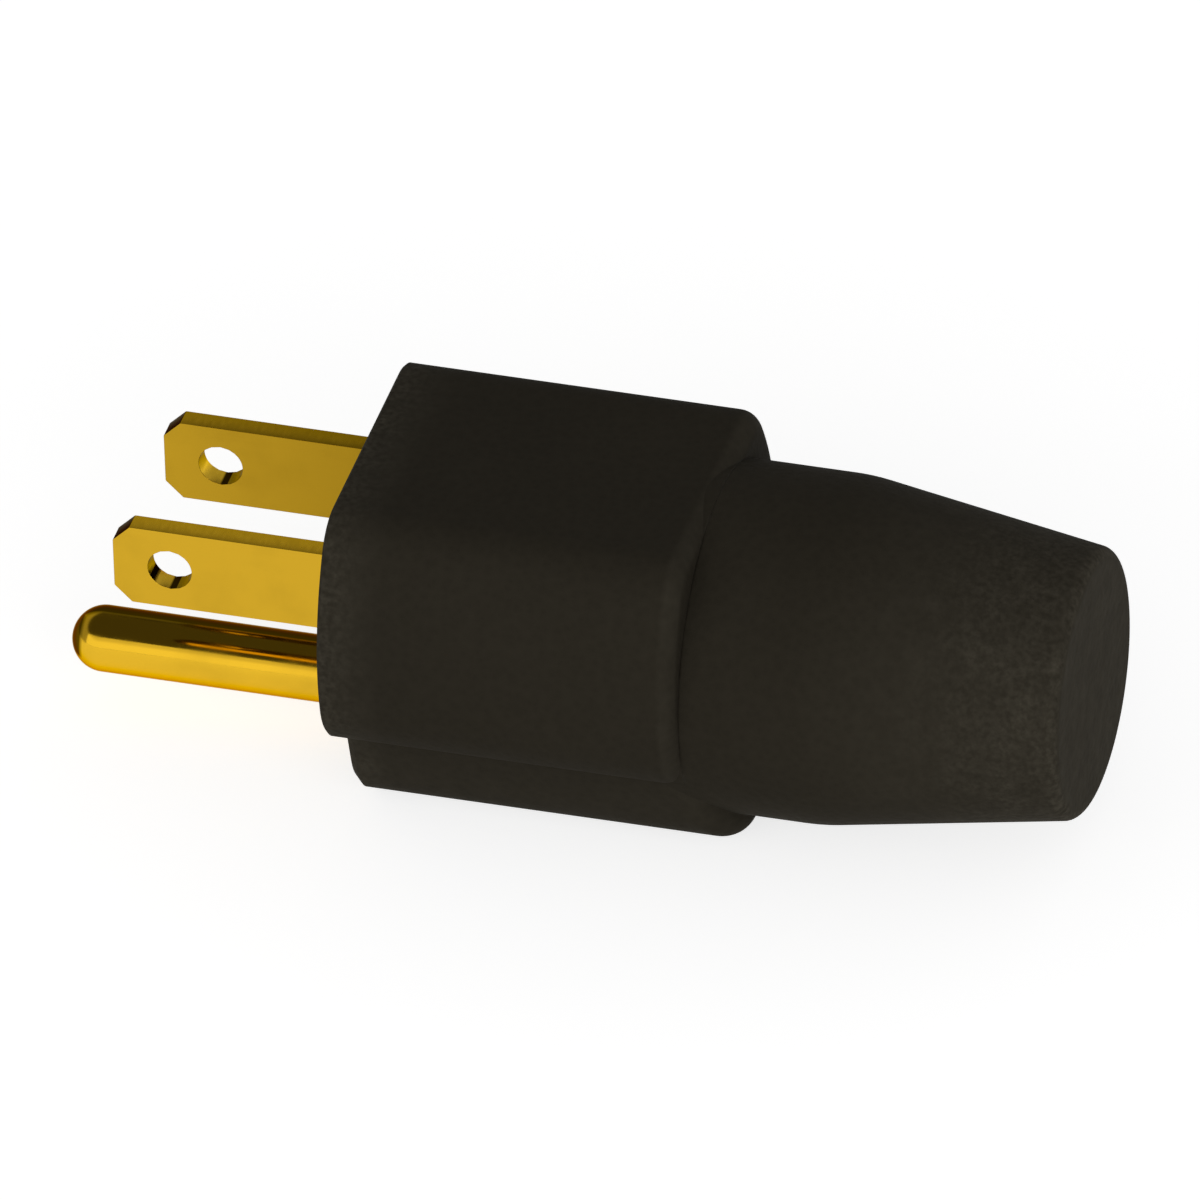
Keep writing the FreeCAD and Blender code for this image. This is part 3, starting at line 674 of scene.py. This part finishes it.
# %% Turn the pin
PIN_Z = -12.0
PIN_RADIUS = 2.35
PIN_TIP, COLLAR_X, STRAP_X, HEAD_X, PIN_END = -21.9, 5.8, 7.3, 8.8, 9.6
ROOT_RADIUS, COLLAR_RADIUS, RIVET_RADIUS, HEAD_RADIUS = 2.65, 3.0, 1.6, 2.4
arc = np.linspace(0.0, math.pi / 2, 40)
nose = np.stack([PIN_TIP + PIN_RADIUS * (1 - np.cos(arc)), PIN_RADIUS * np.sin(arc)], axis=1)
stations = np.linspace(nose[-1, 0], 0.0, 24)[1:]
shank = np.stack([stations, np.full(stations.size, PIN_RADIUS)], axis=1)
inside = broken_corners([(0.0, PIN_RADIUS), (0.0, ROOT_RADIUS), (COLLAR_X, ROOT_RADIUS),
                         (COLLAR_X, COLLAR_RADIUS), (STRAP_X, COLLAR_RADIUS), (STRAP_X, RIVET_RADIUS),
                         (HEAD_X, RIVET_RADIUS), (HEAD_X, HEAD_RADIUS), (PIN_END, RIVET_RADIUS),
                         (PIN_END, 0.0)], 0.08)
pin_profile = np.concatenate([nose, shank, inside[1:]])
pin_skin = turned_skin(pin_profile, 0.0, PIN_Z)
make_piece("ground_pin_turned", [pin_skin], pin_brass, "ground_pin")

# %% [markdown]
# ## The blades
#
# Each blade is cut from 1.52 mm strip. Ahead of the mating face it is a straight prong
# with cropped corners and one round locking hole; behind it are the shoulders that stop
# in the housing and a tail folded outwards into a tab. Tumbling has taken the burrs off
# and rounded every edge by a few hundredths of a millimetre, too little to blur the crisp
# border between face and edge.
#
# The prong could be a cut and bevelled solid. Here it is one closed skin like a ring:
# one direction runs round the outline, the other goes from the wall of the hole over the
# rim, across the face, over the outer edge, down it, and back across the other face.

# %% Outline of the prong, and the ring between hole and outline
BLADE_Y = 6.35
HALF_THICKNESS = 0.76
HALF_WIDTH = 3.175
TIP_X = -16.5
CROP = 1.25
HOLE = (HOLE_X, 0.0, 1.59)
PRONG_END_X = 4.6
PRONG_CORNER, PRONG_EDGE = 0.16, 0.03


def closed_outline(corners, radius, steps=5, spread=14):
    """Points and outward normals round a convex outline given anticlockwise. Each corner
    is an arc tangent to both runs: its centre lies radius inside both of them."""
    corners = np.asarray(corners, float)
    run = np.roll(corners, -1, axis=0) - corners
    length = np.linalg.norm(run, axis=1, keepdims=True)
    heading = run / length
    out = np.stack([heading[:, 1], -heading[:, 0]], axis=1)
    out_before = np.roll(out, 1, axis=0)
    turn = np.arctan2(out_before[:, 0] * out[:, 1] - out_before[:, 1] * out[:, 0],
                      np.sum(out_before * out, axis=1))
    centre = corners - radius * (out + out_before) / (1 + np.sum(out * out_before, axis=1, keepdims=True))
    angle = (np.arctan2(out_before[:, 1], out_before[:, 0])[:, None]
             + turn[:, None] * np.linspace(0.0, 1.0, steps)[None, :])
    normal_arc = np.stack([np.cos(angle), np.sin(angle)], axis=-1)
    arc_points = centre[:, None] + radius * normal_arc
    start, end = arc_points[:, -1], np.roll(arc_points[:, 0], -1, axis=0)
    share = (np.arange(1, spread) / spread)[None, :, None]
    straight = start[:, None] + (end - start)[:, None] * share
    normal_run = np.broadcast_to(out[:, None], straight.shape)
    points = np.concatenate([arc_points, straight], axis=1).reshape(-1, 2)
    normals = np.concatenate([normal_arc, normal_run], axis=1).reshape(-1, 2)
    return points, normals


def ring_skin(points, normals, hole, half, edge, to_place):
    """Closed skin between a round hole and an outline, half thick to each side. The rim
    of the hole and the outer edge are quarter circles of radius edge. to_place turns
    (u, v, w) into x, y, z, with w through the thickness."""
    centre = np.array(hole[:2])
    away = points - centre
    away /= np.linalg.norm(away, axis=1, keepdims=True)
    quarter = np.linspace(0.0, math.pi / 2, 5)
    rim_out, rim_up = edge * (1 - np.cos(quarter)), half - edge + edge * np.sin(quarter)
    rows = [(away, hole[2] + g, w) for g, w in zip(rim_out, rim_up)]
    rows = [(centre + d * r, w) for d, r, w in rows] + [(centre + away * (hole[2] + 1.4 * edge), half)]
    rows += [(points - normals * 1.4 * edge, half)]
    rows += [(points - normals * g, w) for g, w in zip(rim_out[::-1], rim_up[::-1])]
    upper = np.stack([np.concatenate([p, np.full((p.shape[0], 1), w)], axis=1) for p, w in rows])
    lower = upper[::-1] * np.array([1.0, 1.0, -1.0])
    return to_place(np.concatenate([upper, lower])), True, True


prong_corners = [(TIP_X + CROP, -HALF_WIDTH), (PRONG_END_X, -HALF_WIDTH), (PRONG_END_X, HALF_WIDTH),
                 (TIP_X + CROP, HALF_WIDTH), (TIP_X, HALF_WIDTH - CROP), (TIP_X, CROP - HALF_WIDTH)]
outline, outline_normals = closed_outline(prong_corners, PRONG_CORNER)
print("prong outline:", outline.shape[0], "points")

# %% [markdown]
# Behind the prong come the shoulders and an upright web: one skin along X whose
# cross-section is first a tall rectangle and then a low one. Both sections have the same
# number of points, so rows of one join rows of the other where the shoulders end. The tab
# that is folded outwards from the web is a second ring, lying flat, round the tapped hole
# for its screw. The blades are the same part, one mirrored.

# %% Shoulders, web and tab, and both blades
TAB_HOLE = (12.4, 8.75, 1.55)
TAB_Z, TAB_HALF_THICKNESS, TAB_OUTER_Y = 0.25, 0.75, 11.1
TAB_CORNER, TAB_EDGE = 0.12, 0.08
SHOULDER_X, WEB_X, WEB_END = 4.5, 6.9, 15.6
SHOULDER_HALF, WEB_BOTTOM, SECTION_CORNER = 4.075, 0.3, 0.1
INNER_Y, OUTER_Y = BLADE_Y - HALF_THICKNESS, BLADE_Y + HALF_THICKNESS
tab_corners = [(WEB_X, INNER_Y), (WEB_END, INNER_Y), (WEB_END, TAB_OUTER_Y), (WEB_X, TAB_OUTER_Y)]
tab_outline, tab_normals = closed_outline(tab_corners, TAB_CORNER)


def strip_section(bottom, top):
    """Cross-section of the strip in (y, z) between two heights, with its corners broken."""
    corners = np.array([(INNER_Y, bottom), (OUTER_Y, bottom), (OUTER_Y, top), (INNER_Y, top)])
    around = np.concatenate([corners[-1:], corners, corners[:1]])
    return broken_corners(around, SECTION_CORNER, steps=3)[1:-1]


def lofted_skin(stretches, guard=0.06):
    """Skin over stretches (x0, x1, cross-section), closed by a middle point at both ends.
    Rows at the distance guard from every edge keep the flats flat in the smooth shading."""
    rows = []
    for x0, x1, loop in stretches:
        for x in (x0, x0 + guard, x1 - guard, x1):
            rows.append(np.concatenate([np.full((loop.shape[0], 1), x), loop], axis=1))
    middles = [np.broadcast_to(row.mean(axis=0), row.shape) for row in (rows[0], rows[-1])]
    insets = [0.9 * row + 0.1 * middle for row, middle in zip((rows[0], rows[-1]), middles)]
    return np.stack([middles[0], insets[0]] + rows + [insets[1], middles[1]]), False, True


def blade_skins(side):
    """Prong, shoulders with web, and tab of the blade on the +Y side; side -1 mirrors it."""
    flip = np.array([1.0, side, 1.0])
    prong = ring_skin(outline, outline_normals, HOLE, HALF_THICKNESS, PRONG_EDGE,
                      lambda g: flip * np.stack([g[..., 0], BLADE_Y + g[..., 2], g[..., 1]], axis=-1))
    tab = ring_skin(tab_outline, tab_normals, TAB_HOLE, TAB_HALF_THICKNESS, TAB_EDGE,
                    lambda g: flip * np.stack([g[..., 0], g[..., 1], TAB_Z + g[..., 2]], axis=-1))
    body, _, _ = lofted_skin([(SHOULDER_X, WEB_X, strip_section(-SHOULDER_HALF, SHOULDER_HALF)),
                              (WEB_X, WEB_END, strip_section(WEB_BOTTOM, HALF_WIDTH))])
    return [prong, (body * flip, False, True), tab]


make_piece("line_blade_cut", blade_skins(1.0), blade_brass, "line_blade")
make_piece("neutral_blade_cut", blade_skins(-1.0), blade_brass, "neutral_blade")

# %% [markdown]
# ## Metals and plastics inside
#
# The inner pieces are hidden when the housing is closed, but the part may be opened or
# cut in a drawing, so each gets the finish of its trade: strip brass for the strap,
# zinc plate for plates and screws, a green dip for the ground screw, plain brass for the
# line screw, and a grey glass-filled plastic for the wall behind the blades. Screws get
# their thread in the finish too, a helix worked out from the angle round the axis and
# the height along it.

# %% Plain metals
def worked_metal(name, colour, grime, rough_low, rough_high, grain_size=0.5, edge=0.12):
    """Metal with fine working marks, stains in clouds, and edges broken and worn bright."""
    metal = Finish(name, metallic=1.0)
    marks = metal.grain(grain_size, metal.stretched(0.25, 1.6, 1.6), detail=4.0)
    stain = metal.ramp(metal.grain(2.8, detail=4.0), 0.42, 0.75)
    rounded = metal.soft_edge(edge)
    painted_light_and_wear = metal.edge_share(rounded)
    stained = metal.tint(metal.product(stain, 0.6), colour, grime)
    lighter = tuple(min(1.0, 1.25 * c) for c in colour[:3]) + (1,)
    metal.set("Base Color", metal.tint(metal.product(painted_light_and_wear, 0.5), stained, lighter))
    metal.set("Roughness", metal.ramp(metal.sum(marks, stain), 0.4, 1.5, rough_low, rough_high))
    metal.marks, metal.rounded = marks, rounded
    metal.bump(marks, 0.006, rounded, 0.35)
    return metal


dress(["ground_strap"], worked_metal("strip_brass", (0.56, 0.36, 0.09, 1), (0.33, 0.19, 0.05, 1), 0.22, 0.4))
dress(["line_pressure_plate", "neutral_pressure_plate", "ground_pressure_plate"],
      worked_metal("zinc_plate", (0.55, 0.56, 0.56, 1), (0.4, 0.39, 0.36, 1), 0.28, 0.46, 0.35))

# %% [markdown]
# The thread of a screw is a ramp that rises once per pitch along the axis and shifts by
# one pitch per turn round it. Folded into a triangle it gives both flanks. It is let
# through only close to the axis, where the shank is, so the head stays plain.

# %% Screws with a thread in the finish
def threaded(metal, axis, centre, shank_radius, pitch):
    """Add a helical thread to a metal: height = |2 frac(along / pitch + angle / 2 pi) - 1|."""
    at = metal.split(metal.place)
    names = {"X": ("Y", "Z"), "Z": ("X", "Y")}[axis]
    first, second = [metal.combine("SUBTRACT", at[n], c / 1000.0) for n, c in zip(names, centre)]
    turned_by = metal.combine("DIVIDE", metal.combine("ARCTAN2", first, second), 2 * math.pi)
    along = metal.product(at[axis], 1000.0 / pitch)
    saw = metal.combine("FRACT", metal.sum(along, turned_by))
    flank = metal.size(metal.combine("SUBTRACT", metal.product(saw, 2.0), 1.0))
    squared = metal.sum(metal.combine("POWER", first, 2.0), metal.combine("POWER", second, 2.0))
    limit = (shank_radius + 0.03) / 1000.0
    on_shank = metal.combine("LESS_THAN", squared, limit ** 2)
    height = metal.sum(metal.product(flank, on_shank), metal.product(metal.marks, 0.04))
    metal.bump(height, 0.18, metal.rounded, 0.8)
    return metal


ZINC, ZINC_STAIN = (0.6, 0.61, 0.62, 1), (0.42, 0.41, 0.38, 1)
TERMINAL_X, TERMINAL_Y = TAB_HOLE[:2]
SHANK_RADIUS, PITCH = 1.5, 0.8
LONG_SCREW_Z, LONG_SHANK_RADIUS, LONG_PITCH = 3.4, 1.45, 1.1
line_screw = worked_metal("plain_brass_screw", (0.6, 0.4, 0.12, 1), (0.36, 0.22, 0.07, 1), 0.2, 0.36)
neutral_screw = worked_metal("zinc_screw", ZINC, ZINC_STAIN, 0.2, 0.38)
ground_screw = worked_metal("green_dipped_screw", (0.03, 0.22, 0.07, 1), (0.02, 0.12, 0.05, 1), 0.25, 0.42)
ground_screw.set("Metallic", 0.35)
for node_name, screw, y in (("line_terminal_screw", line_screw, TERMINAL_Y),
                            ("neutral_terminal_screw", neutral_screw, -TERMINAL_Y),
                            ("ground_terminal_screw", ground_screw, 0.0)):
    dress([node_name], threaded(screw, "Z", (TERMINAL_X, y), SHANK_RADIUS, PITCH))
long_screw = worked_metal("zinc_long_screw", ZINC, ZINC_STAIN, 0.2, 0.38)
dress(["assembly_screw"], threaded(long_screw, "X", (0.0, LONG_SCREW_Z), LONG_SHANK_RADIUS, LONG_PITCH))

# %% [markdown]
# The retainer is nylon with short glass fibres. They show as pale flecks, a few tenths
# of a millimetre long, on a smooth satin skin.

# %% Glass-filled grey plastic
filled = Finish("glass_filled_grey")
filled.set("IOR", 1.52)
flecks = filled.ramp(filled.grain(0.3, filled.stretched(0.35, 1.0, 1.0), detail=1.0), 0.62, 0.74)
shade = filled.tint(filled.grain(4.0), (0.075, 0.077, 0.08, 1), (0.1, 0.1, 0.102, 1))
filled.set("Base Color", filled.tint(filled.product(flecks, 0.5), shade, (0.26, 0.26, 0.25, 1)))
filled.set("Roughness", filled.ramp(filled.grain(0.8), 0.3, 0.7, 0.4, 0.55))
filled.bump(filled.sum(filled.grain(0.2), flecks), 0.01, filled.soft_edge(0.15), 0.5)
dress(["terminal_retainer"], filled)

# %% [markdown]
# ## The insert
#
# The bush in the boss is brass with a crossed knurl that bites into the plastic. Its
# skin runs from the bore over one end, along the knurl and back over the other end. Two
# sets of grooves cross on it: with n ridges round, at angle a and place x, one is deep
# where sin(n a / 2 + k x) is zero and the other where sin(n a / 2 - k x) is zero.

# %% Knurled bush
def knurled_skin(x0, x1, z, bore, radius, depth, ridges=24, around=240, along=60):
    """Ring-shaped skin about the line z: r = radius - depth (1 - |sin p| |sin q|)."""
    angle = np.arange(around) * 2 * math.pi / around
    x = np.linspace(x0 + 0.25, x1 - 0.25, along)
    slant = (x - x0) * ridges / (2 * radius)
    p = ridges / 2 * angle[None, :] + slant[:, None]
    q = ridges / 2 * angle[None, :] - slant[:, None]
    knurl = radius - depth * (1 - np.abs(np.sin(p)) * np.abs(np.sin(q)))
    ends = [(x0, bore), (x0, bore + 0.1), (x0, radius - 0.25), (x0 + 0.2, radius - 0.12)]
    back = [(x1 - 0.2, radius - 0.12), (x1, radius - 0.25), (x1, bore + 0.1), (x1, bore)]
    rows_x = np.array([e[0] for e in ends] + x.tolist() + [e[0] for e in back])
    level = [np.full((1, around), e[1]) for e in ends + back]
    rows_r = np.concatenate(level[:4] + [knurl] + level[4:])
    xs = np.broadcast_to(rows_x[:, None], rows_r.shape)
    return np.stack([xs, rows_r * np.sin(angle), z + rows_r * np.cos(angle)], axis=-1), True, True


bush_brass = worked_metal("bush_brass", (0.58, 0.38, 0.11, 1), (0.3, 0.18, 0.06, 1), 0.24, 0.4, 0.3, 0.05)
bush_skin = knurled_skin(18.6, 23.6, LONG_SCREW_Z, bore=1.5, radius=2.1, depth=0.12)
make_piece("threaded_insert_knurled", [bush_skin], bush_brass, "threaded_insert")

# %% [markdown]
# ## The jumper
#
# The bond itself is a short copper wire of seven strands: one straight in the middle
# and six laid round it in a long helix. A strand is a circle carried along its path.
# The path of an outer strand goes once round the middle for every lay length, so its
# centre at place y is r (sin(a + 2 pi y / lay), cos(a + 2 pi y / lay)).

# %% Seven strands
JUMPER_X, JUMPER_Z, WIRE_RADIUS = 14.785, -1.315, 0.815
WIRE_START, WIRE_END = -10.65, 1.9


def strand_skins(y0, y1, radius, lay=9.0, along=90, around=16):
    """Closed tubes of the seven strands, each a third of the wire across."""
    strand = radius / 3
    y = np.linspace(y0, y1, along)
    ring = np.arange(around) * 2 * math.pi / around
    skins = []
    for number in range(7):
        off = 0.0 if number == 0 else 2 * strand
        turn = number * math.pi / 3 + 2 * math.pi * (y - y0) / lay
        centre_x, centre_z = off * np.sin(turn), off * np.cos(turn)
        x = JUMPER_X + centre_x[:, None] + strand * np.sin(ring)
        z = JUMPER_Z + centre_z[:, None] + strand * np.cos(ring)
        tube = np.stack([x, np.broadcast_to(y[:, None], x.shape), z], axis=-1)
        ends = [np.broadcast_to(tube[k].mean(axis=0), tube[k].shape)[None] for k in (0, -1)]
        skins.append((np.concatenate([ends[0], tube, ends[1]]), False, True))
    return skins


copper = worked_metal("bright_copper", (0.83, 0.38, 0.22, 1), (0.42, 0.17, 0.1, 1), 0.2, 0.36, 0.3, 0.03)
make_piece("jumper_strands", strand_skins(WIRE_START, WIRE_END, WIRE_RADIUS), copper,
           "jumper_conductor")

# %% [markdown]
# A short green sleeve covers the wire's middle stretch. It is a turned ring with
# rounded ends. The turning helper lays its axis along X, so X and Y change places.

# %% The sleeve
SLEEVE_START, SLEEVE_END, SLEEVE_BORE, SLEEVE_RADIUS = -5.29, -3.3, 0.84, 1.4
green = Finish("green_wire_sleeve")
drift = green.grain(1.5, detail=4.0)
green.set("Base Color", green.tint(drift, (0.012, 0.16, 0.035, 1), (0.02, 0.22, 0.05, 1)))
green.set("Roughness", green.ramp(green.grain(0.6), 0.3, 0.7, 0.24, 0.4))
green.bump(green.grain(0.25), 0.008, strength=0.4)
seam = (-4.3, SLEEVE_BORE)
sleeve_ring = broken_corners([seam, (SLEEVE_START, SLEEVE_BORE), (SLEEVE_START, SLEEVE_RADIUS),
                              (SLEEVE_END, SLEEVE_RADIUS), (SLEEVE_END, SLEEVE_BORE), seam], 0.15)
sleeve_grid, _, _ = turned_skin(sleeve_ring, 0.0, 0.0, 64)
along, over, height = np.moveaxis(sleeve_grid, -1, 0)
sleeve_grid = np.stack([over + JUMPER_X, along, height + JUMPER_Z], axis=-1)
make_piece("jumper_sleeve", [(sleeve_grid, False, True)], green, "jumper_insulation")

# %% [markdown]
